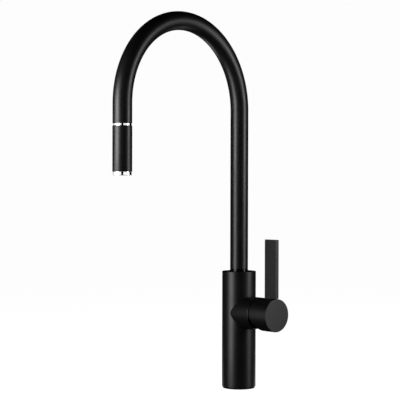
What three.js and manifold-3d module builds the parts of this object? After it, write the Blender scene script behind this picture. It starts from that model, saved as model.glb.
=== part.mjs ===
// A tall single-lever kitchen mixer with a swivelling gooseneck spout and a pull-down spray head.
// Millimetres, +Z up. The origin is on the body's axis at the deck surface. -Y is straight ahead,
// over the bowl, and +X is the side of the lever. Each mesh is one piece of the mixer.
import * as THREE from 'three';
import { mergeVertices } from 'three/addons/utils/BufferGeometryUtils.js';
import Module from 'manifold-3d';

const wasm = await Module();
wasm.setup();

// ---- driving dimensions ----
const GAP = 0.3;             // running and assembly clearance between pieces
const BODY_R = 25;
const BODY_TOP = 173.2;
const BODY_BORE_R = 21;
const LEVER_Z = 112.6;       // height of the lever's axis
const LEVER_R = 24;          // side stub and lever hub
const STUB_BORE_R = 20.2;
const STUB_END = 43.6;       // where the stub stops along X
const HUB_START = 44.4;
const HUB_END = 77;
const CAP_END = 79.2;
const BLADE = { x0: 57, x1: 79.8, thick: 6.2, top: 222 };
const HUB_RELIEF_DEG = 27;   // cut under the hub's rim, so that the lever can tilt out
const STUB_BEVEL = { depth: 21, length: 14 }; // flat under the stub's rim, below the lever's axis
const TILT_X = 40;           // the lever tilts about a pin at this X
const STEM_ARM = 16.1;       // from that pin to the ball that moves the disc
const TUBE_R = 13.25;
const TUBE_BORE_R = 11.7;
const TUBE_FOOT = 176.2;
const ARCH_R = 121.9;
const SPRING_Z = 410.5;      // where the straight riser becomes the arch
const LEG_END = 383.2;
const SPOUT_TURN_DEG = 6.27; // the spout stands this far from straight ahead, towards the lever
const HEAD_R = 13.37;
const RING_R = 12.55;        // the two bright rings of the spray head
const HEAD_TOP = 380.2;
const HEAD_FOOT = 318.3;
const NOZZLE_FOOT = 313.5;
const HOSE_R = 6;
const SHANK_R = 16.5;
const SHANK_BORE_R = 13;
const SHANK_FOOT = -60;
const DECK_THICK = 30;       // the worktop that the nut is shown tightened under
const ROUND = 28;            // sides of a large turned piece
const SMALL = 16;            // sides of a small one

const FINISH = {
  black: { color: 0x1b1b1c, roughness: 0.42, metalness: 0.35 },
  chrome: { color: 0xd8dadc, roughness: 0.08, metalness: 1 },
  brass: { color: 0xb8933f, roughness: 0.35, metalness: 1 },
  steel: { color: 0x9a9da0, roughness: 0.32, metalness: 1 },
  rubber: { color: 0x111111, roughness: 0.8, metalness: 0 },
  plastic: { color: 0x3c3d40, roughness: 0.5, metalness: 0 },
  bush: { color: 0xe9e6dc, roughness: 0.45, metalness: 0 },
  ceramic: { color: 0xf3f0e8, roughness: 0.2, metalness: 0 },
  magnet: { color: 0x4a4c50, roughness: 0.3, metalness: 1 },
};

// ---- shaping helpers ----
function merged(geometry) {
  const bare = geometry.clone();
  bare.deleteAttribute('normal');
  bare.deleteAttribute('uv');
  return mergeVertices(bare, 1e-4);
}

function signedVolume(geometry) {
  const points = geometry.attributes.position;
  const corner = [new THREE.Vector3(), new THREE.Vector3(), new THREE.Vector3()];
  let total = 0;
  for (let i = 0; i < geometry.index.count; i += 3) {
    corner.forEach((c, k) => c.fromBufferAttribute(points, geometry.index.getX(i + k)));
    total += corner[0].dot(corner[1].cross(corner[2]));
  }
  return total / 6;
}

function solid(geometry) {
  const shape = merged(geometry);
  const triVerts = Uint32Array.from(shape.index.array);
  if (signedVolume(shape) < 0) triVerts.reverse();
  const vertProperties = Float32Array.from(shape.attributes.position.array);
  return new wasm.Manifold(new wasm.Mesh({ numProp: 3, vertProperties, triVerts }));
}

function toGeometry(manifold) {
  const mesh = manifold.getMesh();
  const geometry = new THREE.BufferGeometry();
  geometry.setAttribute('position', new THREE.BufferAttribute(mesh.vertProperties, 3));
  geometry.setIndex(new THREE.BufferAttribute(mesh.triVerts, 1));
  return geometry;
}

// A turned shape about Z from [radius, height] points, given in order round the section.
function turned(points, sides = ROUND) {
  const closed = points[0][0] > 0 ? [...points, points[0]] : points;
  const lathe = new THREE.LatheGeometry(closed.map(([r, z]) => new THREE.Vector2(r, z)), sides);
  return solid(lathe.rotateX(Math.PI / 2));
}

function ring(inner, outer, z0, z1, sides = SMALL) {
  return turned([[inner, z0], [outer, z0], [outer, z1], [inner, z1]], sides);
}

function rod(radius, z0, z1, sides = SMALL) {
  return turned([[0, z0], [radius, z0], [radius, z1], [0, z1]], sides);
}

function box(x0, x1, y0, y1, z0, z1) {
  const block = new THREE.BoxGeometry(x1 - x0, y1 - y0, z1 - z0);
  return solid(block.translate((x0 + x1) / 2, (y0 + y1) / 2, (z0 + z1) / 2));
}

// The bead of an O-ring or clip: a ring with a round section.
function bead(centre, radius, z, sides = SMALL) {
  const section = Array.from({ length: 6 }, (_, i) => {
    const a = (i + 0.5) * Math.PI / 3;
    return [centre + radius * Math.cos(a), z + radius * Math.sin(a)];
  });
  return turned(section, sides);
}

// A straight-sided plate cut from an outline in the XZ plane, |y| < half.
function plateXZ(points, half) {
  const outline = new THREE.Shape(points.map(([x, z]) => new THREE.Vector2(x, z)));
  const plate = new THREE.ExtrudeGeometry(outline, { depth: 2 * half, bevelEnabled: false });
  return solid(plate.rotateX(Math.PI / 2).translate(0, half, 0));
}

// Shapes turned about Z laid down about the lever's axis: z becomes x.
const onLeverAxis = (shape) => shape.rotate([0, 90, 0]).translate([0, 0, LEVER_Z]);
const acrossY = (shape) => shape.rotate([90, 0, 0]);

// The tube's centreline: straight up from foot, round the arch, and down to the end of the leg.
class Gooseneck extends THREE.Curve {
  constructor(foot, end, steps) {
    super();
    Object.assign(this, { foot, end, steps });
    this.arcSteps = end < SPRING_Z ? steps - 2 : steps - 1;
  }

  getPoint(t) {
    const step = t * this.steps;
    const turn = Math.min(Math.max(step - 1, 0), this.arcSteps) / this.arcSteps * Math.PI;
    const below = Math.max(1 - step, 0) * (SPRING_Z - this.foot);
    const past = Math.max(step - 1 - this.arcSteps, 0) * (SPRING_Z - this.end);
    const y = ARCH_R * (Math.cos(turn) - 1);
    return new THREE.Vector3(0, y, SPRING_Z + ARCH_R * Math.sin(turn) - below - past);
  }

  getTangentAt(t) {
    const turn = Math.min(Math.max(t * this.steps - 1, 0), this.arcSteps) / this.arcSteps * Math.PI;
    return new THREE.Vector3(0, -Math.sin(turn), Math.cos(turn));
  }

  getSpacedPoints(count) {
    return Array.from({ length: count + 1 }, (_, i) => this.getPoint(i / count));
  }
}

function alongGooseneck(foot, end, radius, bore, sides) {
  const steps = end < SPRING_Z ? 30 : 29;
  const section = new THREE.Shape().absarc(0, 0, radius, 0, 2 * Math.PI);
  if (bore > 0) section.holes.push(new THREE.Path().absarc(0, 0, bore, 0, 2 * Math.PI, true));
  const extrudePath = new Gooseneck(foot, end, steps);
  const options = { steps, curveSegments: sides / 2, extrudePath, bevelEnabled: false };
  return solid(new THREE.ExtrudeGeometry(section, options));
}

// ---- the group, and what turns with the spout ----
const mixer = new THREE.Group();
const spout = new THREE.Group();
spout.rotation.z = THREE.MathUtils.degToRad(SPOUT_TURN_DEG);
mixer.add(spout);
const leg = new THREE.Group();
leg.position.y = -2 * ARCH_R;
spout.add(leg);

function add(name, shape, finish, group = mixer) {
  const material = new THREE.MeshStandardMaterial(FINISH[finish]);
  const mesh = new THREE.Mesh(toGeometry(shape), material);
  mesh.name = name;
  group.add(mesh);
}

// ---- body: one upright tube with a side stub for the valve ----
function mixerBody() {
  const tube = turned([[0, 1.6], [BODY_R - 1.2, 1.6], [BODY_R, 2.8], [BODY_R, BODY_TOP - 0.6],
    [BODY_R - 0.6, BODY_TOP], [0, BODY_TOP]], 40);
  const stub = onLeverAxis(turned([[0, 0], [LEVER_R, 0], [LEVER_R, STUB_END - 0.5],
    [LEVER_R - 0.5, STUB_END], [0, STUB_END]], 40));
  const bore = rod(BODY_BORE_R, 0, BODY_TOP - 6.2, 40);
  const stubBore = onLeverAxis(rod(STUB_BORE_R, 0, STUB_END + 1, 40));
  const neck = rod(12.8, 100, BODY_TOP + 1, ROUND);
  const { depth, length } = STUB_BEVEL;
  const inner = STUB_END - length;
  const relief = plateXZ([[STUB_END, LEVER_Z - depth], [STUB_END + 5, LEVER_Z - depth],
    [STUB_END + 5, LEVER_Z - 30], [inner, LEVER_Z - 30], [inner, LEVER_Z - LEVER_R]], 30);
  return tube.add(stub).subtract(bore).subtract(stubBore).subtract(neck).subtract(relief);
}

function deckFixing() {
  add('base_seal', ring(17.2, 24, 0, 1.3, ROUND), 'rubber');
  add('base_insert', ring(SHANK_R + GAP, BODY_BORE_R - 0.4, 2.2, 14, ROUND), 'brass');
  add('mounting_shank', ring(SHANK_BORE_R, SHANK_R, SHANK_FOOT, 13.6, ROUND), 'brass');
  const under = -DECK_THICK;
  add('deck_washer', ring(17, 28, under - 2.5, under, ROUND), 'rubber');
  add('clamp_plate', ring(17, 28, under - 5, under - 2.8, ROUND), 'steel');
  const hexagon = rod(46 / Math.sqrt(3), under - 16, under - 5.3, 6);
  const thread = rod(SHANK_R + GAP, under - 17, under - 5, ROUND);
  add('mounting_nut', hexagon.subtract(thread), 'brass');
}

// ---- valve block: holds the cartridge in the stub and takes the three hoses from below ----
const PORTS = [
  { name: 'hot_inlet', x: 11, y: -10.5, rise: 116 },
  { name: 'cold_inlet', x: 11, y: 10.5, rise: 116 },
  { name: 'mixed_outlet', x: 13.5, y: 0, rise: 104 },
];
const CUP_BACK = 8;          // outside of the cup's floor
const CUP_FLOOR = 13;
const DRILL_X = 10.7;
const BOSS_FOOT = 80;

function valveBlock() {
  const cup = onLeverAxis(rod(STUB_BORE_R - GAP, CUP_BACK, 42.4, ROUND));
  const boss = box(6.4, 19, -16, 16, BOSS_FOOT, LEVER_Z).intersect(rod(20.6, 70, 120, ROUND));
  let block = cup.add(boss).subtract(onLeverAxis(rod(17.8, CUP_FLOOR, 43, ROUND)));
  for (const { x, y, rise } of PORTS) {
    const socket = rod(4.5, BOSS_FOOT - 1, BOSS_FOOT + 6.4, 16).translate([x, y, 0]);
    const riser = rod(1.8, BOSS_FOOT + 5, rise, 12).translate([Math.min(x, DRILL_X), y, 0]);
    const port = rod(1.8, DRILL_X, CUP_FLOOR + 1, 12).rotate([0, 90, 0]).translate([0, y, rise]);
    block = block.subtract(socket).subtract(riser).subtract(port);
  }
  return block;
}

function portHoles(z0, z1, radius) {
  const holes = PORTS.map(({ y, rise }) =>
    rod(radius, z0, z1, 12).rotate([0, 90, 0]).translate([0, y, rise]));
  return holes[0].add(holes[1]).add(holes[2]);
}

function cartridge() {
  for (const { name, x, y } of PORTS) {
    add(name, ring(2.6, 4.2, BOSS_FOOT - 8, BOSS_FOOT + 6, 20).translate([x, y, 0]), 'brass');
  }
  const disc = (radius, x0, x1) => onLeverAxis(rod(radius, x0, x1));
  add('cartridge_gasket', disc(16.8, 13.3, 14.6).subtract(portHoles(13, 15, 2.4)), 'rubber');
  add('fixed_disc', disc(14, 14.9, 18.4).subtract(portHoles(14, 19, 2.2)), 'ceramic');
  const shell = turned([[14.4, 14.9], [17.4, 14.9], [17.4, 35.9], [9.4, 35.9], [9.4, 33],
    [14.4, 33]], ROUND);
  add('cartridge_body', onLeverAxis(shell), 'plastic');
  add('cartridge_nut', onLeverAxis(ring(12.4, 17.5, 36.3, 42.2)), 'brass');
  const bonnet = turned([[18.6, 42.7], [19.9, 42.7], [19.9, 43.3], [16, 45.2], [12.2, 46.4],
    [12.2, 45.2], [15.6, 44]], ROUND);
  add('bonnet_ring', onLeverAxis(bonnet), 'black');
  const hollow = onLeverAxis(rod(5, 18, 20, 16));
  add('moving_disc', disc(8.4, 18.8, 21).subtract(hollow), 'ceramic');
  const socket = onLeverAxis(rod(2.5, 21, 26, 16));
  add('disc_carrier', disc(8.4, 21.3, 25).subtract(socket), 'plastic');
}

// ---- lever: the turret turns for heat, the stem tilts in it for flow ----
function turret() {
  const shape = onLeverAxis(turned([[0, 25.4], [13.9, 25.4], [13.9, 32.6], [9, 32.6], [9, 44],
    [0, 44]]));
  const flangeSlot = box(25, 32.7, -3.4, 3.4, LEVER_Z - 9.3, LEVER_Z + 9.3);
  const neckSlot = box(32, 45, -3.4, 3.4, LEVER_Z - 6.6, LEVER_Z + 6.6);
  return shape.subtract(flangeSlot).subtract(neckSlot).subtract(pivotHole());
}

const pivotHole = () => acrossY(rod(1.8, -20, 20, 16)).translate([TILT_X, 0, LEVER_Z]);

function stem() {
  const ballX = TILT_X - STEM_ARM;
  const ball = solid(new THREE.SphereGeometry(2, 16, 10)).translate([ballX, 0, LEVER_Z]);
  const arm = onLeverAxis(rod(1.6, ballX, 33, 16));
  const bar = box(31, 66.5, -3, 3, LEVER_Z - 3, LEVER_Z + 3);
  return ball.add(arm).add(bar).subtract(pivotHole());
}

function leverHub() {
  const outside = onLeverAxis(turned([[0, HUB_START], [LEVER_R - 0.5, HUB_START],
    [LEVER_R, HUB_START + 0.5], [LEVER_R, HUB_END], [0, HUB_END]], 40));
  const cup = onLeverAxis(rod(20.5, HUB_START - 1, 56, ROUND));
  const square = box(55, 67, -3.3, 3.3, LEVER_Z - 3.3, LEVER_Z + 3.3);
  const spigot = onLeverAxis(rod(8.3, 71, HUB_END + 1));
  const slot = box(57.7, 72.3, -3.4, 3.4, LEVER_Z + 14, LEVER_Z + 30);
  const drill = onLeverAxis(rod(1.9, 56.5, HUB_END + 1, 16)).translate([0, 0, 18.5]);
  const sink = onLeverAxis(rod(3.2, 73.5, HUB_END + 1, 16)).translate([0, 0, 18.5]);
  const grub = rod(2.3, LEVER_Z - 30, LEVER_Z, 16).translate([61.5, 0, 0]);
  const lift = 30 * Math.tan(THREE.MathUtils.degToRad(HUB_RELIEF_DEG));
  const relief = plateXZ([[HUB_START - 2, LEVER_Z], [HUB_START, LEVER_Z],
    [HUB_START + lift, LEVER_Z - 30], [HUB_START - 2, LEVER_Z - 30]], 30);
  return [cup, square, spigot, slot, drill, sink, grub, relief]
    .reduce((shape, tool) => shape.subtract(tool), outside);
}

function lever() {
  add('turret', turret(), 'plastic');
  add('tilt_pin', acrossY(rod(1.45, -8.2, 8.2, 16)).translate([TILT_X, 0, LEVER_Z]), 'steel');
  add('stem', stem(), 'brass');
  add('lever_hub', leverHub(), 'black');
  const cap = turned([[0, 71.6], [8, 71.6], [8, HUB_END + GAP], [LEVER_R, HUB_END + GAP],
    [LEVER_R, CAP_END - 0.7], [LEVER_R - 0.7, CAP_END], [0, CAP_END]], 40);
  add('lever_cap', onLeverAxis(cap), 'black');
  const half = BLADE.thick / 2;
  const bar = box(BLADE.x0, BLADE.x1, -half, half, LEVER_Z + LEVER_R + GAP, BLADE.top);
  const tenon = box(58, 72, -half, half, LEVER_Z + 14.3, LEVER_Z + LEVER_R + 1);
  const hole = onLeverAxis(rod(1.9, 50, 80, 16)).translate([0, 0, 18.5]);
  add('lever_blade', bar.add(tenon).subtract(hole), 'black');
  const screw = turned([[0, 59], [1.5, 59], [1.5, 73.8], [2.8, 73.8], [2.8, 76.6], [0, 76.6]], 16);
  add('blade_screw', onLeverAxis(screw).translate([0, 0, 18.5]), 'steel');
  add('grub_screw', rod(1.95, LEVER_Z - 10.5, LEVER_Z - 3.35, 16).translate([61.5, 0, 0]), 'steel');
}

// ---- swivel: the spout's spigot turns in two bushes and stops on a pin ----
const STOP_Z = 151.5;
const SWIVEL_DEG = 70;       // each way from straight ahead

function spigot() {
  const shape = turned([[8.5, 133.8], [11, 133.8], [11, 134.7], [10.5, 134.7], [10.5, 135.9],
    [11, 135.9], [11, 150], [14.4, 150], [14.4, 153], [11, 153], [11, 168], [12.4, 168],
    [12.4, TUBE_FOOT - GAP], [11.3, TUBE_FOOT - GAP], [11.3, 190], [8.5, 190]], ROUND);
  const half = THREE.MathUtils.degToRad(SWIVEL_DEG + 8);
  const rear = Math.PI / 2;
  const pie = new THREE.Shape().moveTo(0, 0);
  for (let i = 0; i <= 12; i++) {
    const a = rear - half + 2 * half * i / 12;
    pie.lineTo(20 * Math.cos(a), 20 * Math.sin(a));
  }
  const wedge = solid(new THREE.ExtrudeGeometry(pie, { depth: 4, bevelEnabled: false }));
  const window = wedge.translate([0, 0, 149.5]).subtract(rod(11, 140, 160, ROUND));
  return shape.subtract(window);
}

function swivel() {
  const pinHole = acrossY(rod(1.75, -30, 0, 16)).translate([0, 0, STOP_Z]);
  const housing = ring(14.8, 20.6, 136, 166.6, ROUND).subtract(pinHole);
  add('swivel_housing', housing, 'brass');
  add('stop_pin', acrossY(rod(1.4, -20.2, -12.4, 16)).translate([0, 0, STOP_Z]), 'steel');
  add('upper_bush', ring(11.4, 14.4, 158.6, 166.4), 'bush');
  add('lower_bush', ring(11.4, 14.4, 138.4, 146.4), 'bush');
  add('spout_spigot', spigot(), 'brass', spout);
  const split = box(9, 15, -2, 2, 130, 140);
  add('retaining_clip', ring(10.9, 13.8, 134.9, 135.7).subtract(split), 'steel', spout);
  add('friction_ring', bead(12.9, 1.45, 155.9), 'rubber', spout);
  const foot = turned([[12.75, 174.1], [13.4, 174.1], [13.6, 174.5], [13.6, 175.1],
    [13.4, 175.5], [12.75, 175.5]], ROUND);
  add('foot_ring', foot, 'black', spout);
}

// ---- spout: the bent tube, the hose in it, and the dock in its end ----
function spoutTube() {
  add('spout_tube', alongGooseneck(TUBE_FOOT, LEG_END, TUBE_R, TUBE_BORE_R, 20), 'black', spout);
  add('riser_hose', alongGooseneck(SHANK_FOOT, SPRING_Z, HOSE_R, 0, 8), 'rubber', spout);
  add('dock_insert', ring(10.3, 11.3, LEG_END + 0.4, 399.6), 'plastic', leg);
  add('dock_magnet', ring(8.5, 11.3, 400, 406), 'magnet', leg);
  add('hose_guide', ring(7.2, 11.3, 406.4, 409.6), 'bush', leg);
}

// ---- spray head, from the hose's end down to the nozzle ----
function sprayHead() {
  add('pull_hose', rod(HOSE_R, 398.8, SPRING_Z - GAP, 8), 'rubber', leg);
  const nut = turned([[3.5, 372], [8.8, 372], [8.8, 377.6], [7.1, 377.6], [7.1, 398.4],
    [3.5, 398.4]]);
  add('hose_nut', nut, 'brass', leg);
  const collar = turned([[9.2, 369], [11.2, 369], [11.2, HEAD_TOP + GAP], [RING_R, HEAD_TOP + GAP],
    [RING_R, LEG_END - GAP], [9.9, LEG_END - GAP], [9.9, 396], [7.5, 396], [7.5, 378],
    [9.2, 378]], ROUND);
  add('dock_collar', collar, 'chrome', leg);
  add('strike_ring', ring(7.6, 9.9, 396.3, 398.3), 'steel', leg);
  const edge = 0.4;
  const shell = turned([[11.6, HEAD_FOOT], [HEAD_R - edge, HEAD_FOOT], [HEAD_R, HEAD_FOOT + edge],
    [HEAD_R, HEAD_TOP - edge], [HEAD_R - edge, HEAD_TOP], [11.6, HEAD_TOP]], ROUND);
  add('head_shell', shell, 'black', leg);
  add('collar_gasket', ring(8, 11.1, 367.3, 368.7), 'rubber', leg);
  const core = turned([[4, 324], [11.2, 324], [11.2, 366.9], [7.4, 366.9], [7.4, 350], [4, 350]]);
  add('spray_core', core, 'plastic', leg);
  const poppet = turned([[0, 352], [7, 352], [7, 366], [3, 366], [3, 358], [0, 358]], 20);
  add('check_valve', poppet, 'bush', leg);
  add('nozzle_seal', ring(8, 11.1, 322.3, 323.7), 'rubber', leg);
  const nozzle = turned([[10.6, NOZZLE_FOOT], [RING_R - 0.3, NOZZLE_FOOT],
    [RING_R, NOZZLE_FOOT + 0.3], [RING_R, HEAD_FOOT - GAP], [11.2, HEAD_FOOT - GAP], [11.2, 322],
    [10.6, 322]], ROUND);
  add('nozzle_ring', nozzle, 'chrome', leg);
  add('flow_straightener', ring(2, 10.2, 316.2, 321.9), 'bush', leg);
  add('nozzle_plate', nozzlePlate(), 'plastic', leg);
}

function nozzlePlate() {
  let plate = rod(10.2, 314, 315.8);
  for (const [count, radius] of [[6, 3.6], [12, 7.4]]) {
    for (let i = 0; i < count; i++) {
      const a = i / count * 2 * Math.PI;
      const jet = rod(0.7, 313, 317, 6).translate([radius * Math.cos(a), radius * Math.sin(a), 0]);
      plate = plate.subtract(jet);
    }
  }
  return plate;
}

add('mixer_body', mixerBody(), 'black');
deckFixing();
add('valve_block', valveBlock(), 'brass');
cartridge();
lever();
swivel();
spoutTube();
sprayHead();

export default mixer;
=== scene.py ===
import bmesh
import bpy
import math
from mathutils import Matrix, Vector


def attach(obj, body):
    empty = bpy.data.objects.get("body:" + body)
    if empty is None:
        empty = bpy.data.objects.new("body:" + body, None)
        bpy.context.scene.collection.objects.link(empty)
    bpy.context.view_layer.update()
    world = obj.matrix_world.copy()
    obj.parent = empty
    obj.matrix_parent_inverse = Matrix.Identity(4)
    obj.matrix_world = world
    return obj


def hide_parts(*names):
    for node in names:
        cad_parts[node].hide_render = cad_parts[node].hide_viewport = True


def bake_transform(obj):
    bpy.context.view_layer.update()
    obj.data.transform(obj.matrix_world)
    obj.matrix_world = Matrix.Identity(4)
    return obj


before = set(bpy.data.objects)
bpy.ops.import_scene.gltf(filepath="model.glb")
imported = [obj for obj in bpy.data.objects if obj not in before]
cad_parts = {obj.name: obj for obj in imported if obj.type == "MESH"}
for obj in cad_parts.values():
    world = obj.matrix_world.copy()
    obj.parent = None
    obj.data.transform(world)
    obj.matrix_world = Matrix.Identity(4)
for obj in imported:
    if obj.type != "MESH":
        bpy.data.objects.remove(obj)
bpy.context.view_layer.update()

# ---- Camera ----
# A long lens stands 1.9 m off, between straight ahead and the side of the lever and level with the
# middle of the riser, so that the lever's round end faces it and the spout crosses to the left.
camera = bpy.data.objects.new("camera", bpy.data.cameras.new("camera"))
camera.data.lens = 112.96
camera.data.sensor_width = 36
camera.data.clip_end = 50
camera.matrix_world = (
    Matrix.Translation((1.3512, -1.2888, 0.29866))
    @ Matrix.Rotation(math.radians(48.144), 4, "Z")
    @ Matrix.Rotation(math.radians(90 - 0.614), 4, "X")
    @ Matrix.Rotation(math.radians(0.14), 4, "Z")
)
bpy.context.scene.collection.objects.link(camera)
bpy.context.scene.camera = camera

# ---- Studio ----
# A white sweep with upright strip boxes ahead on the left and behind on the right, and a weak one for the
# lever's end. Light off the floor reaches the back and sides, and white cards fill the bright rings.
PAPER_WHITE = 0.98
PAPER_GLOW = 0.978
FULL_SPREAD = 180
LEVEL_RIGHT = (0.888, 0.515)
bpy.context.scene.view_settings.view_transform = "Standard"
studio = bpy.data.worlds.new("studio")
studio.use_nodes = True
studio_light = studio.node_tree.nodes["Background"]
studio_light.inputs["Color"].default_value = (PAPER_WHITE, PAPER_WHITE, PAPER_WHITE, 1)
studio.cycles_visibility.diffuse = False
studio.cycles_visibility.glossy = False
bpy.context.scene.world = studio


def soft_box(name, place, aim, width, height, watts, spread=FULL_SPREAD):
    lamp = bpy.data.lights.new(name, "AREA")
    lamp.shape = "RECTANGLE"
    lamp.size, lamp.size_y, lamp.energy = width, height, watts
    lamp.spread = math.radians(spread)
    box = bpy.data.objects.new(name, lamp)
    towards = (Vector(place) - Vector(aim)).to_track_quat("Z", "Y")
    box.matrix_world = Matrix.Translation(place) @ towards.to_matrix().to_4x4()
    box.visible_camera = False
    bpy.context.scene.collection.objects.link(box)
    return box


soft_box("strip_left_low", (-0.058, -0.482, 0.147), (0.03, -0.153, 0.147), 0.245, 0.376, 1.34)
soft_box("strip_left_high", (-0.014, -0.47, 0.4275), (0.04, -0.225, 0.4275), 0.29, 0.185, 0.2, 60)
soft_box("strip_right_low", (*LEVEL_RIGHT, 0.005), (0, 0, 0.005), 0.28, 0.41, 0.85)
soft_box("strip_right_high", (*LEVEL_RIGHT, 0.48), (0, 0, 0.48), 0.28, 0.54, 3.7)
soft_box("strip_lever", (0.8, 0.69, 0.085), (0.08, 0, 0.16), 0.2, 0.3, 0.1)
for name, place in (("bounce_left", (-1.02, 0.18, -0.36)), ("bounce_back", (-0.18, 1.02, -0.36))):
    soft_box(name, place, (0, 0, 0.25), 0.4, 0.4, 1.1)
bright_plating = bpy.data.collections.new("bright_plating")
RINGS_PLACE = (0.0266, -0.242, 0.35)
for card in (soft_box("card_left", (-0.246, -0.777, 0.35), RINGS_PLACE, 2.6, 0.5, 4.9),
             soft_box("card_right", (0.792, -0.008, 0.35), RINGS_PLACE, 1.44, 0.5, 2.7)):
    card.light_linking.receiver_collection = bright_plating

floor_mesh = bmesh.new()
bmesh.ops.create_circle(floor_mesh, cap_ends=True, segments=96, radius=30)
floor_data = bpy.data.meshes.new("floor")
floor_mesh.to_mesh(floor_data)
floor = bpy.data.objects.new("floor", floor_data)
bpy.context.scene.collection.objects.link(floor)
floor.visible_glossy = floor.visible_diffuse = floor.visible_shadow = False
paper = bpy.data.materials.new("paper_sweep")
paper.use_nodes = True
paper_shader = paper.node_tree.nodes["Principled BSDF"]
paper_shader.inputs["Base Color"].default_value = (0.8, 0.8, 0.8, 1)
paper_shader.inputs["Roughness"].default_value = 0.9
paper_shader.inputs["Emission Color"].default_value = (1, 1, 1, 1)
paper_shader.inputs["Emission Strength"].default_value = PAPER_GLOW
floor_data.materials.append(paper)

# ---- Body ----
# One upright brass tube, 50 mm across, with a side stub for the valve brazed into it. It is turned,
# bead-blasted and powder-coated satin black, and the top is closed but for the spout's neck.
MM = 0.001
BODY_RADIUS, BODY_FOOT, BODY_TOP = 25, 1.6, 173.2
STUB_RADIUS, STUB_END, STUB_BORE = 24, 43.6, 20.2
LEVER_Z = 112.6
LEVER_AXIS = Matrix.Translation((0, 0, LEVER_Z * MM)) @ Matrix.Rotation(math.pi / 2, 4, "Y")


def turned(outline, sides=128, place=Matrix.Identity(4)):
    """Turns (radius, height, rounding) corners, in mm and in order round the section, about Z."""
    bm = bmesh.new()
    corners = [bm.verts.new((corner[0] * MM, 0, corner[1] * MM)) for corner in outline]
    for a, b in zip(corners, corners[1:]):
        bm.edges.new((a, b))
    if outline[0][0] > 0:
        bm.edges.new((corners[-1], corners[0]))
    for vertex, corner in zip(corners, outline):
        if len(corner) > 2:
            bmesh.ops.bevel(bm, geom=[vertex], offset=corner[2] * MM, offset_type="OFFSET", segments=8,
                            profile=0.5, affect="VERTICES", clamp_overlap=False, material=-1)
    bmesh.ops.spin(bm, geom=bm.verts[:] + bm.edges[:], cent=(0, 0, 0), axis=(0, 0, 1),
                   angle=2 * math.pi, steps=sides, use_merge=True)
    bmesh.ops.remove_doubles(bm, verts=bm.verts, dist=1e-7)
    bmesh.ops.recalc_face_normals(bm, faces=bm.faces)
    bmesh.ops.transform(bm, matrix=place, verts=bm.verts)
    return bm


def rod(radius, start, end, sides=128, place=Matrix.Identity(4)):
    return turned([(0, start), (radius, start), (radius, end), (0, end)], sides, place)


def plate(outline, half):
    """A flat plate cut to (x, z) corners in mm, standing |y| < half."""
    bm = bmesh.new()
    face = bm.faces.new([bm.verts.new((x * MM, -half * MM, z * MM)) for x, z in outline])
    grown = bmesh.ops.extrude_face_region(bm, geom=[face])["geom"]
    bmesh.ops.translate(bm, vec=(0, 2 * half * MM, 0),
                        verts=[v for v in grown if isinstance(v, bmesh.types.BMVert)])
    bmesh.ops.recalc_face_normals(bm, faces=bm.faces)
    return bm


def combine(whole, operation, *tools):
    """Joins (UNION), cuts (DIFFERENCE) or trims (INTERSECT) one shape with each of the tools."""
    for tool in tools:
        objects = []
        for name, bm in (("whole", whole), ("tool", tool)):
            mesh = bpy.data.meshes.new(name)
            bm.to_mesh(mesh)
            bm.free()
            objects.append(bpy.data.objects.new(name, mesh))
            bpy.context.scene.collection.objects.link(objects[-1])
        work = objects[0].modifiers.new("combine", "BOOLEAN")
        work.operation, work.solver, work.object = operation, "EXACT", objects[1]
        result = objects[0].evaluated_get(bpy.context.evaluated_depsgraph_get())
        whole = bmesh.new()
        whole.from_mesh(result.to_mesh())
        for used in objects:
            bpy.data.meshes.remove(used.data)
        bmesh.ops.remove_doubles(whole, verts=whole.verts, dist=1e-7)
    return whole


def piece(name, bm, body, slot, material, *nodes, sharp=32):
    """Puts a finished shape in the scene, smooth but for its edges, on its body and for its CAD nodes."""
    mesh = bpy.data.meshes.new(name)
    bm.to_mesh(mesh)
    bm.free()
    mesh.materials.append(material)
    mesh.shade_smooth()
    mesh.set_sharp_from_angle(angle=math.radians(sharp))
    made = bpy.data.objects.new(name, mesh)
    bpy.context.scene.collection.objects.link(made)
    made.modifiers.new("flat_faces", "WEIGHTED_NORMAL").keep_sharp = True
    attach(made, body)
    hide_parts(*nodes)
    return made


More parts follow.
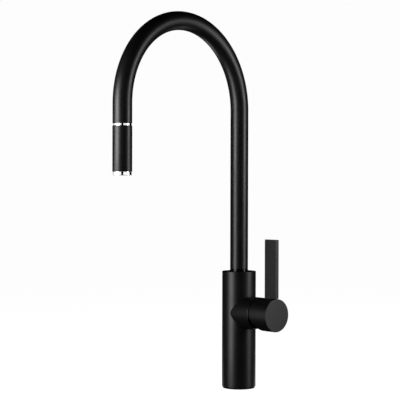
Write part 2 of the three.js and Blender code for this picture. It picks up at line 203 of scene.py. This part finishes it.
def surface(name, colour, other, roughness, spread, grain, depth, metallic=0.0, stretch=(1, 1, 1)):
    """A material whose colour and roughness wander over the surface, with a fine grain in relief."""
    material = bpy.data.materials.new(name)
    material.use_nodes = True
    nodes, links = material.node_tree.nodes, material.node_tree.links
    shader = nodes["Principled BSDF"]
    shader.inputs["Metallic"].default_value = metallic
    place = nodes.new("ShaderNodeTexCoord")
    turn = nodes.new("ShaderNodeMapping")
    turn.inputs["Scale"].default_value = stretch
    links.new(place.outputs["Object"], turn.inputs["Vector"])
    drift = nodes.new("ShaderNodeTexNoise")
    drift.inputs["Scale"].default_value = 38
    drift.inputs["Detail"].default_value = 4
    fine = nodes.new("ShaderNodeTexNoise")
    fine.inputs["Scale"].default_value = grain
    fine.inputs["Detail"].default_value = 3
    for noise in (drift, fine):
        links.new(turn.outputs["Vector"], noise.inputs["Vector"])
    tint = nodes.new("ShaderNodeMix")
    tint.data_type = "RGBA"
    tint.inputs["A"].default_value = (*colour, 1)
    tint.inputs["B"].default_value = (*other, 1)
    links.new(fine.outputs["Fac"], tint.inputs["Factor"])
    links.new(tint.outputs["Result"], shader.inputs["Base Color"])
    gloss = nodes.new("ShaderNodeMapRange")
    gloss.inputs["From Min"].default_value = 0.3
    gloss.inputs["From Max"].default_value = 0.7
    gloss.inputs["To Min"].default_value = roughness - spread
    gloss.inputs["To Max"].default_value = roughness + spread
    links.new(drift.outputs["Fac"], gloss.inputs["Value"])
    links.new(gloss.outputs["Result"], shader.inputs["Roughness"])
    relief = nodes.new("ShaderNodeBump")
    relief.inputs["Strength"].default_value = 0.6
    relief.inputs["Distance"].default_value = depth
    links.new(fine.outputs["Fac"], relief.inputs["Height"])
    links.new(relief.outputs["Normal"], shader.inputs["Normal"])
    return material


black_coat = surface("black_coat", (0.0045, 0.0045, 0.0048), (0.0065, 0.0065, 0.0069), 0.38, 0.03, 1500,
                     0.000012)
tube = turned([(0, BODY_FOOT), (BODY_RADIUS, BODY_FOOT, 1.2), (BODY_RADIUS, BODY_TOP, 0.6), (0, BODY_TOP)],
              160)
stub = turned([(0, 0), (STUB_RADIUS, 0), (STUB_RADIUS, STUB_END, 1.3), (0, STUB_END)], 160, LEVER_AXIS)
shape = combine(tube, "UNION", stub)
bevel_under = plate([(STUB_END, 91.6), (48.6, 91.6), (48.6, 82.6), (29.6, 82.6), (29.6, 88.6)], 30)
shape = combine(shape, "DIFFERENCE", rod(21, -1, 167), rod(STUB_BORE, 0, 45, 128, LEVER_AXIS),
                rod(12.8, 100, 175), bevel_under)
piece("upright_body", shape, "base", "black_coat", black_coat, "mixer_body", sharp=14)

# ---- Deck fixing ----
# A black rubber ring seals the body to the worktop. A threaded brass shank passes down through the
# hole, and a rubber washer, a steel plate and a hexagon nut clamp it from below.
rubber = surface("rubber", (0.012, 0.012, 0.012), (0.024, 0.024, 0.023), 0.72, 0.08, 900, 0.00005)
brass = surface("turned_brass", (0.55, 0.4, 0.16), (0.66, 0.5, 0.23), 0.3, 0.07, 700, 0.00002, 1.0, (1, 1, 9))
steel = surface("stainless_steel", (0.42, 0.43, 0.44), (0.56, 0.57, 0.58), 0.3, 0.06, 800, 0.00002, 1.0,
                (1, 8, 1))
piece("deck_seal", turned([(17.2, 0, 0.2), (24, 0, 0.3), (24, 1.3, 0.3), (17.2, 1.3, 0.2)]),
      "base", "rubber", rubber, "base_seal")
SHANK_BORE, THREAD_ROOT, THREAD_CREST, THREAD_PITCH, THREAD_TURNS = 13, 15.5, 16.5, 2, 34
thread = [(SHANK_BORE, 13.6, 0.4), (SHANK_BORE, -60, 0.6), (THREAD_ROOT, -60)]
for turn in range(THREAD_TURNS):
    foot = -59 + THREAD_PITCH * turn
    thread += [(THREAD_ROOT, foot), (THREAD_CREST, foot + 0.85), (THREAD_CREST, foot + 1.15),
               (THREAD_ROOT, foot + THREAD_PITCH)]
thread += [(THREAD_CREST, 10), (THREAD_CREST, 13.6, 0.4)]
piece("threaded_shank", turned(thread, 72), "base", "brass", brass, "mounting_shank")
piece("rubber_washer", turned([(17, -32.5, 0.3), (28, -32.5, 0.5), (28, -30, 0.5), (17, -30, 0.3)]),
      "base", "rubber", rubber, "deck_washer")
piece("clamping_plate", turned([(17, -35, 0.2), (28, -35, 0.3), (28, -32.8, 0.3), (17, -32.8, 0.2)]),
      "base", "steel", steel, "clamp_plate")
NUT_ACROSS_FLATS, NUT_FOOT, NUT_TOP = 46, -46, -35.3
hexagon = rod(NUT_ACROSS_FLATS / math.sqrt(3), NUT_FOOT, NUT_TOP, 6)
crown = turned([(0, NUT_FOOT), (23.4, NUT_FOOT), (26.7, -44.3), (26.7, -37), (23.4, NUT_TOP), (0, NUT_TOP)],
               96)
hexagon = combine(combine(hexagon, "INTERSECT", crown), "DIFFERENCE", rod(16.8, -47, -35))
piece("locking_nut", hexagon, "base", "brass", brass, "mounting_nut")
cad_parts["base_insert"].material_slots[0].material = brass

# ---- Valve ----
# A brass block in the stub holds a ceramic-disc cartridge under a screwed ring and takes two supply
# hoses and the outlet hose from below. A thin black bonnet closes the stub round the lever's stem.
grey_plastic = surface("grey_plastic", (0.05, 0.05, 0.055), (0.075, 0.075, 0.08), 0.45, 0.05, 1400, 0.00002)
ceramic = surface("lapped_ceramic", (0.82, 0.8, 0.75), (0.9, 0.88, 0.83), 0.16, 0.04, 1800, 0.000004)
for node in ("valve_block", "hot_inlet", "cold_inlet", "mixed_outlet", "cartridge_nut"):
    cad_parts[node].material_slots[0].material = brass
for node in ("cartridge_body", "disc_carrier", "turret"):
    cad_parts[node].material_slots[0].material = grey_plastic
for node in ("fixed_disc", "moving_disc"):
    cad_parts[node].material_slots[0].material = ceramic
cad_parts["cartridge_gasket"].material_slots[0].material = rubber
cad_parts["tilt_pin"].material_slots[0].material = steel
bonnet = turned([(18.6, 42.7), (19.9, 42.7), (19.9, 43.3, 0.2), (16, 45.2), (12.2, 46.4), (12.2, 45.2),
                 (15.6, 44)], 96, LEVER_AXIS)
piece("bonnet", bonnet, "base", "black_coat", black_coat, "bonnet_ring")

# ---- Lever ----
# A solid turned hub on the cartridge's square stem, with a thin disc over its end and a flat bar let
# into its top edge, all coated with the body. The hub's rim is cut away below to let it tilt.
HUB_START, HUB_END, DISC_START, DISC_END = 44.4, 77, 77.3, 79.2
LEVER_CLEARANCE = 27
hub = turned([(0, HUB_START), (STUB_RADIUS, HUB_START, 1.3), (STUB_RADIUS, HUB_END, 0.25), (0, HUB_END)],
             160, LEVER_AXIS)
lift = 30 * math.tan(math.radians(LEVER_CLEARANCE))
hub = combine(
    hub, "DIFFERENCE",
    rod(20.5, 43.4, 56, 128, LEVER_AXIS),
    plate([(42.4, LEVER_Z), (HUB_START, LEVER_Z), (HUB_START + lift, LEVER_Z - 30), (42.4, LEVER_Z - 30)],
          30),
    plate([(55, LEVER_Z - 3.3), (67, LEVER_Z - 3.3), (67, LEVER_Z + 3.3), (55, LEVER_Z + 3.3)], 3.3),
    plate([(57.7, LEVER_Z + 14), (72.3, LEVER_Z + 14), (72.3, LEVER_Z + 30), (57.7, LEVER_Z + 30)], 3.4),
    rod(8.3, 71, 78, 64, LEVER_AXIS),
    rod(2.3, LEVER_Z - 30, LEVER_Z, 48, Matrix.Translation((61.5 * MM, 0, 0))),
)
piece("hub", hub, "lever", "black_coat", black_coat, "lever_hub")
cap = turned([(0, 71.6), (8, 71.6, 0.5), (8, DISC_START), (STUB_RADIUS, DISC_START, 0.25),
              (STUB_RADIUS, DISC_END, 0.7), (0, DISC_END)], 160, LEVER_AXIS)
piece("hub_disc", cap, "lever", "black_coat", black_coat, "lever_cap")
BAR_HALF, BAR_NEAR, BAR_FAR, BAR_FOOT, BAR_TOP = 3.1, 57, 79.8, 136.9, 222
bar = plate([(BAR_NEAR, BAR_FOOT), (BAR_FAR, BAR_FOOT), (BAR_FAR, BAR_TOP), (BAR_NEAR, BAR_TOP)], BAR_HALF)
bmesh.ops.bevel(bar, geom=bar.edges[:], offset=0.5 * MM, offset_type="OFFSET", segments=4, profile=0.5,
                affect="EDGES", material=-1)
tenon = plate([(58, 126.9), (72, 126.9), (72, 138), (58, 138)], BAR_HALF)
screw_way = rod(1.9, 50, 80, 32, Matrix.Translation((0, 0, 18.5 * MM)) @ LEVER_AXIS)
bar = combine(combine(bar, "UNION", tenon), "DIFFERENCE", screw_way)
piece("handle_bar", bar, "lever", "black_coat", black_coat, "lever_blade")
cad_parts["stem"].material_slots[0].material = brass
for node in ("blade_screw", "grub_screw"):
    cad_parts[node].material_slots[0].material = steel

# ---- Swivel ----
# The spout's brass neck turns in two white acetal bushes inside the body. A steel pin in the housing
# limits it to 70 degrees each way, and a thin black ring trims the foot of the riser.
acetal = surface("white_acetal", (0.7, 0.68, 0.63), (0.78, 0.76, 0.71), 0.4, 0.05, 1200, 0.00001)
for node in ("swivel_housing", "spout_spigot"):
    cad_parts[node].material_slots[0].material = brass
for node in ("stop_pin", "retaining_clip"):
    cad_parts[node].material_slots[0].material = steel
for node in ("upper_bush", "lower_bush"):
    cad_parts[node].material_slots[0].material = acetal
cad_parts["friction_ring"].material_slots[0].material = rubber
gloss_black = surface("gloss_black", (0.002, 0.002, 0.002), (0.004, 0.004, 0.004), 0.14, 0.03, 1500,
                      0.000004)
foot_trim = turned([(12.42, 173.25), (13.1, 173.25), (13.1, 174.1), (13.7, 174.1, 0.55), (13.7, 175.5, 0.55),
                    (12.9, 175.5), (12.9, 176.18), (12.42, 176.18)])
piece("foot_trim", foot_trim, "spout", "black_coat", gloss_black, "foot_ring")

# ---- Spout ----
# A 26.5 mm brass tube bent over a round former into a half-circle arch, open at both ends and coated
# with the body. It stands turned a little towards the lever.
SPOUT_TURN = Matrix.Rotation(math.radians(6.27), 4, "Z")
ARCH = 121.9
SPRING_Z = 410.5
SPOUT_RADIUS, SPOUT_BORE, SPOUT_FOOT, SPOUT_END = 13.25, 11.7, 176.2, 383.2
neck = bmesh.new()
bmesh.ops.create_circle(neck, cap_ends=True, segments=96, radius=SPOUT_RADIUS * MM,
                        matrix=Matrix.Translation((0, 0, SPOUT_FOOT * MM)))
bmesh.ops.inset_region(neck, faces=neck.faces[:], thickness=(SPOUT_RADIUS - SPOUT_BORE) * MM,
                       use_boundary=True, use_even_offset=True)
bmesh.ops.delete(neck, geom=[face for face in neck.faces if len(face.verts) == 96], context="FACES_ONLY")


def lengthened(wall, rise):
    """Draws the tube's ring of faces on by a straight length, in mm, and gives the ring at its new end."""
    grown = bmesh.ops.extrude_face_region(neck, geom=wall)["geom"]
    bmesh.ops.translate(neck, vec=(0, 0, rise * MM),
                        verts=[v for v in grown if isinstance(v, bmesh.types.BMVert)])
    return [face for face in grown if isinstance(face, bmesh.types.BMFace)]


spring = lengthened(neck.faces[:], SPRING_Z - SPOUT_FOOT)
edges_and_corners = list(dict.fromkeys(part for face in spring for part in (*face.edges, *face.verts)))
ring = bmesh.ops.spin(neck, geom=spring + edges_and_corners, cent=(0, -ARCH * MM, SPRING_Z * MM),
                      axis=(1, 0, 0), angle=math.pi, steps=128)["geom_last"]
lengthened([face for face in ring if isinstance(face, bmesh.types.BMFace)], SPOUT_END - SPRING_Z)
bmesh.ops.recalc_face_normals(neck, faces=neck.faces)
ends = ((0, SPOUT_FOOT), (-2 * ARCH, SPOUT_END))
rims = [edge for edge in neck.edges if any(
    all(abs(v.co.z - height * MM) < 1e-6 and
        abs(math.hypot(v.co.x, v.co.y - middle * MM) - SPOUT_RADIUS * MM) < 1e-5 for v in edge.verts)
    for middle, height in ends)]
bmesh.ops.bevel(neck, geom=rims, offset=0.8 * MM, offset_type="OFFSET", segments=4, profile=0.5,
                affect="EDGES", material=-1)
bmesh.ops.transform(neck, matrix=SPOUT_TURN, verts=neck.verts)
piece("gooseneck", neck, "spout", "black_coat", black_coat, "spout_tube")

# ---- Dock ----
# A moulded insert and a ring magnet are pressed into the end of the leg, under a white guide that the
# hose slides through. The magnet draws the spray head back into the spout.
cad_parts["dock_insert"].material_slots[0].material = grey_plastic
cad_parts["dock_magnet"].material_slots[0].material = steel
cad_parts["hose_guide"].material_slots[0].material = acetal

# ---- Hose ----
# A 12 mm hose in a black nylon braid runs up the riser and over the arch to the spray head. The short
# stretch above the head feeds out with it, and a brass nut holds its end.
LEG_AXIS = SPOUT_TURN @ Matrix.Translation((0, -2 * ARCH * MM, 0))
HOSE_RADIUS, HOSE_TOP, HOSE_END = 6, 410.2, 398.8
HOSE_STRANDS = 12
BRAID_PITCH = 3.4
braid = surface("nylon_braid", (0.006, 0.006, 0.006), (0.03, 0.03, 0.031), 0.55, 0.06, 1600, 0.00003)


def woven(name):
    """Black nylon strands wound both ways round the hose, over and under, from its round UV and height."""
    material = surface(name, (0.008, 0.008, 0.008), (0.02, 0.02, 0.021), 0.5, 0.06, 2600, 0.00002)
    nodes, links = material.node_tree.nodes, material.node_tree.links
    shader = nodes["Principled BSDF"]

    def reckon(operation, first, second=None):
        node = nodes.new("ShaderNodeMath")
        node.operation = operation
        for socket, value in zip(node.inputs, (first, second)):
            if isinstance(value, (int, float)):
                socket.default_value = value
            elif value is not None:
                links.new(value, socket)
        return node.outputs[0]

    round_hose = nodes.new("ShaderNodeUVMap")
    round_hose.uv_map = "round_hose"
    turn = nodes.new("ShaderNodeSeparateXYZ")
    links.new(round_hose.outputs["UV"], turn.inputs[0])
    place = nodes.new("ShaderNodeTexCoord")
    rise = nodes.new("ShaderNodeSeparateXYZ")
    links.new(place.outputs["Object"], rise.inputs[0])
    across = reckon("MULTIPLY", turn.outputs["X"], HOSE_STRANDS)
    along = reckon("DIVIDE", rise.outputs["Z"], BRAID_PITCH * MM)
    left, right = reckon("ADD", across, along), reckon("SUBTRACT", across, along)
    crown_left = reckon("ABSOLUTE", reckon("SINE", reckon("MULTIPLY", left, math.pi)))
    crown_right = reckon("ABSOLUTE", reckon("SINE", reckon("MULTIPLY", right, math.pi)))
    cell = nodes.new("ShaderNodeCombineXYZ")
    links.new(left, cell.inputs["X"])
    links.new(right, cell.inputs["Y"])
    cell.inputs["Z"].default_value = 0.5
    over = nodes.new("ShaderNodeTexChecker")
    over.inputs["Scale"].default_value = 1
    links.new(cell.outputs[0], over.inputs["Vector"])
    strand = nodes.new("ShaderNodeMix")
    links.new(over.outputs["Fac"], strand.inputs["Factor"])
    links.new(crown_left, strand.inputs["A"])
    links.new(crown_right, strand.inputs["B"])
    thread_lines = reckon("ABSOLUTE", reckon("SINE", reckon("MULTIPLY", across, 5 * math.pi)))
    height = reckon("ADD", strand.outputs["Result"], reckon("MULTIPLY", thread_lines, 0.12))
    relief = nodes.new("ShaderNodeBump")
    relief.inputs["Strength"].default_value = 0.9
    relief.inputs["Distance"].default_value = 0.0005
    links.new(height, relief.inputs["Height"])
    links.new(relief.outputs["Normal"], shader.inputs["Normal"])
    # Painted shade: the base colour follows the strands' height, dark in the grooves between strands and
    # lighter on their crowns.
    tint = nodes.new("ShaderNodeMix")
    tint.data_type = "RGBA"
    tint.inputs["A"].default_value = (0.004, 0.004, 0.004, 1)
    tint.inputs["B"].default_value = (0.035, 0.035, 0.036, 1)
    links.new(height, tint.inputs["Factor"])
    links.new(tint.outputs["Result"], shader.inputs["Base Color"])
    return material


woven_braid = woven("woven_nylon_braid")
rings = [(HOSE_RADIUS, 399 + 0.14 * number) for number in range(1, 79)]
hose = turned([(0, HOSE_END), (HOSE_RADIUS, HOSE_END), *rings, (HOSE_RADIUS, HOSE_TOP), (0, HOSE_TOP)],
              32, LEG_AXIS)
leg = LEG_AXIS.translation
layer = hose.loops.layers.uv.new("round_hose")
for face in hose.faces:
    middle = face.calc_center_median() - leg
    heading = math.atan2(middle.y, middle.x)
    for corner in face.loops:
        spot = corner.vert.co - leg
        swing = (math.atan2(spot.y, spot.x) - heading + math.pi) % (2 * math.pi) - math.pi
        corner[layer].uv = ((heading + swing) / (2 * math.pi), spot.z)
pull = bpy.data.meshes.new("braided_hose")
hose.to_mesh(pull)
hose.free()
pull.materials.append(woven_braid)
pull.shade_smooth()
pull_hose = bpy.data.objects.new("braided_hose", pull)
bpy.context.scene.collection.objects.link(pull_hose)
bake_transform(pull_hose)
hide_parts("pull_hose")
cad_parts["riser_hose"].material_slots[0].material = braid
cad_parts["hose_nut"].material_slots[0].material = brass

# ---- Spray head ----
# A plain coated sleeve between two bright plated rings. The upper one is the collar that docks in the
# spout, and the lower one holds the grey plate of rubber jets.
RING_RADIUS, SLEEVE_RADIUS = 12.55, 13.37
chrome = surface("chrome_plate", (0.78, 0.78, 0.79), (0.84, 0.84, 0.85), 0.09, 0.02, 1500, 0.000002, 1.0)
collar = turned([(9.2, 369), (11.2, 369), (11.2, 380.5), (RING_RADIUS, 380.5, 0.25),
                 (RING_RADIUS, 382.9, 0.25),
                 (9.9, 382.9), (9.9, 396, 0.4), (7.5, 396), (7.5, 378), (9.2, 378)], 128, LEG_AXIS)
bright_plating.objects.link(piece("docking_collar", collar, "spray_head", "chrome", chrome, "dock_collar"))
sleeve = turned([(11.6, 318.3), (SLEEVE_RADIUS, 318.3, 0.4), (SLEEVE_RADIUS, 380.2, 0.8), (11.6, 380.2)],
                128, LEG_AXIS)
piece("head_sleeve", sleeve, "spray_head", "black_coat", black_coat, "head_shell")
rim = turned([(10.6, 313.5, 0.3), (RING_RADIUS, 313.5, 0.4), (RING_RADIUS, 318, 0.25), (11.2, 318),
              (11.2, 322), (10.6, 322)], 128, LEG_AXIS)
bright_plating.objects.link(piece("nozzle_rim", rim, "spray_head", "chrome", chrome, "nozzle_ring"))
jets = turned([(0, 314), (10.2, 314, 0.3), (10.2, 315.8), (0, 315.8)], 96, LEG_AXIS)
nubs, holes = bmesh.new(), bmesh.new()
for count, radius in ((6, 3.6), (12, 7.4)):
    for number in range(count):
        spot = Matrix.Rotation(2 * math.pi * number / count, 4, "Z") @ Matrix.Translation((radius * MM, 0, 0))
        nub = turned([(0, 313.55), (0.8, 313.55, 0.1), (1, 314.5), (0, 314.5)], 16, LEG_AXIS @ spot)
        for group, one in ((nubs, nub), (holes, rod(0.45, 313, 316.5, 16, LEG_AXIS @ spot))):
            jet = bpy.data.meshes.new("jet")
            one.to_mesh(jet)
            one.free()
            group.from_mesh(jet)
            bpy.data.meshes.remove(jet)
jets = combine(combine(jets, "UNION", nubs), "DIFFERENCE", holes)
piece("jet_plate", jets, "spray_head", "grey_plastic", grey_plastic, "nozzle_plate")
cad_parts["strike_ring"].material_slots[0].material = steel
for node in ("collar_gasket", "nozzle_seal"):
    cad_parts[node].material_slots[0].material = rubber
for node in ("check_valve", "flow_straightener"):
    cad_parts[node].material_slots[0].material = acetal
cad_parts["spray_core"].material_slots[0].material = grey_plastic
